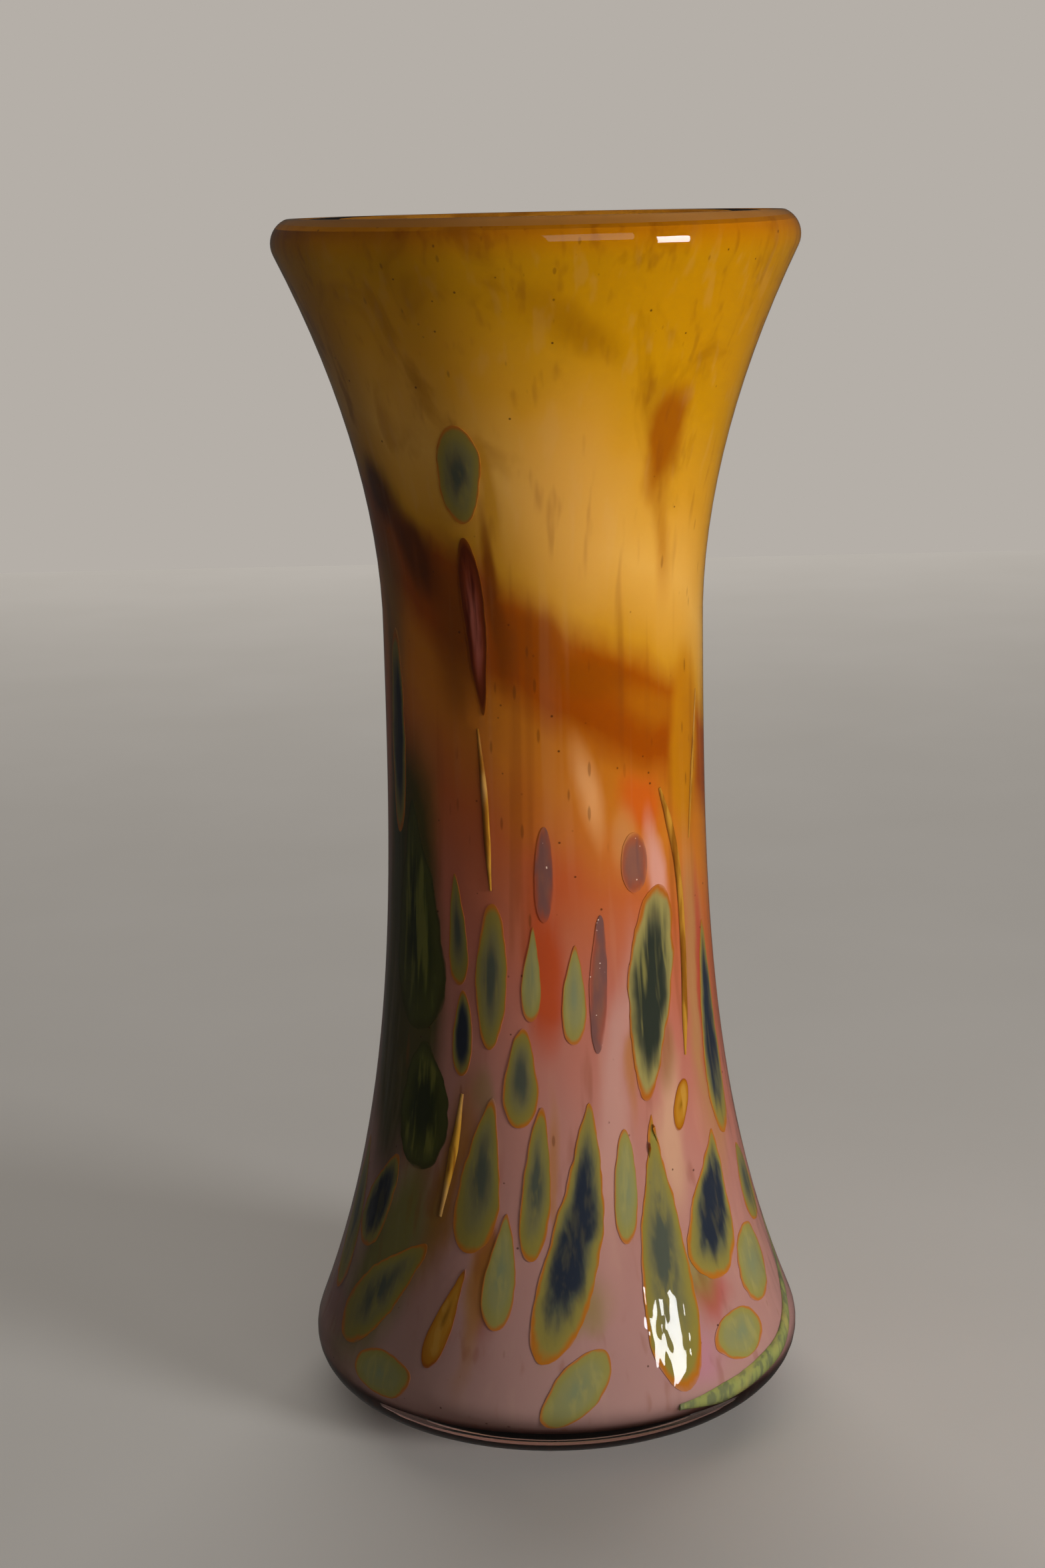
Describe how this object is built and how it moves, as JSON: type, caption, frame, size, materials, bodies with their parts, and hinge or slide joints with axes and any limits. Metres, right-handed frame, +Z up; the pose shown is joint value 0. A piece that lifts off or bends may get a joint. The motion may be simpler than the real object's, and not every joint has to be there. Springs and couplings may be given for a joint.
{
  "type": "vase",
  "caption": "Tall hand-blown cased glass vase with a flared mouth, narrow waist and rounded foot, coloured shards and threads under clear glass.",
  "frame": {"origin": "centre of the foot, on the surface that the vase stands on", "axes": "+Z up the axis of blowing, towards the mouth; -Y is the vase's front"},
  "size_m": [0.1187, 0.1188, 0.2789],
  "materials": {
    "clear_glass": "fire-polished, clear",
    "opal_glass": "opaque white, fire-polished",
    "amber_glass": "opaque amber under clear glass",
    "rose_glass": "opaque rose under clear glass",
    "moss_glass": "streaked olive green under clear glass",
    "slate_glass": "streaked blue-grey under clear glass",
    "mauve_glass": "mauve-grey with fine sparkle, under clear glass",
    "gold_glass": "golden amber under clear glass",
    "ruby_glass": "red-brown under clear glass"
  },
  "bodies": {
    "root": {"clear_casing": "clear_glass", "opal_liner": "opal_glass", "amber_overlay": "amber_glass", "rose_overlay": "rose_glass", "crown_shard": "moss_glass", "ruby_shard": "ruby_glass", "left_slate_drift": "slate_glass", "left_moss_drift": "moss_glass", "left_lower_drift": "moss_glass", "left_reed": "moss_glass", "left_slate_reed": "slate_glass", "twin_reed": "moss_glass", "front_mauve_reed": "mauve_glass", "front_slim_reed": "moss_glass", "front_short_reed": "moss_glass", "front_mauve_needle": "mauve_glass", "front_lower_shard": "moss_glass", "right_mauve_shard": "mauve_glass", "right_plume": "slate_glass", "right_gold_drop": "gold_glass", "left_tall_shard": "moss_glass", "centre_tall_shard": "moss_glass", "centre_blue_shard": "slate_glass", "left_olive_shard": "moss_glass", "foot_slant_shard": "moss_glass", "right_pale_shard": "mauve_glass", "right_long_shard": "moss_glass", "right_cup_shard": "slate_glass", "right_edge_reed": "slate_glass", "right_edge_shard": "moss_glass", "right_lens_shard": "moss_glass", "foot_round_shard": "moss_glass", "left_edge_shard": "moss_glass", "left_blue_shard": "slate_glass", "left_fan_shard": "moss_glass", "left_gold_needle": "gold_glass", "left_foot_lobe": "moss_glass", "side_slate_shard": "slate_glass", "side_foot_lobe": "moss_glass", "back_right_reed": "moss_glass", "back_right_shard": "moss_glass", "back_right_lobe": "moss_glass", "back_slate_shard": "slate_glass", "back_mauve_reed": "mauve_glass", "back_tall_shard": "moss_glass", "back_foot_lobe": "moss_glass", "back_left_plume": "slate_glass", "back_left_shard": "moss_glass", "back_left_reed": "moss_glass", "back_left_lobe": "moss_glass", "left_gold_thread": "gold_glass", "left_amber_thread": "gold_glass", "right_gold_thread": "gold_glass", "fine_gold_thread": "gold_glass", "foot_moss_trail": "moss_glass"}
  },
  "joints": []
}
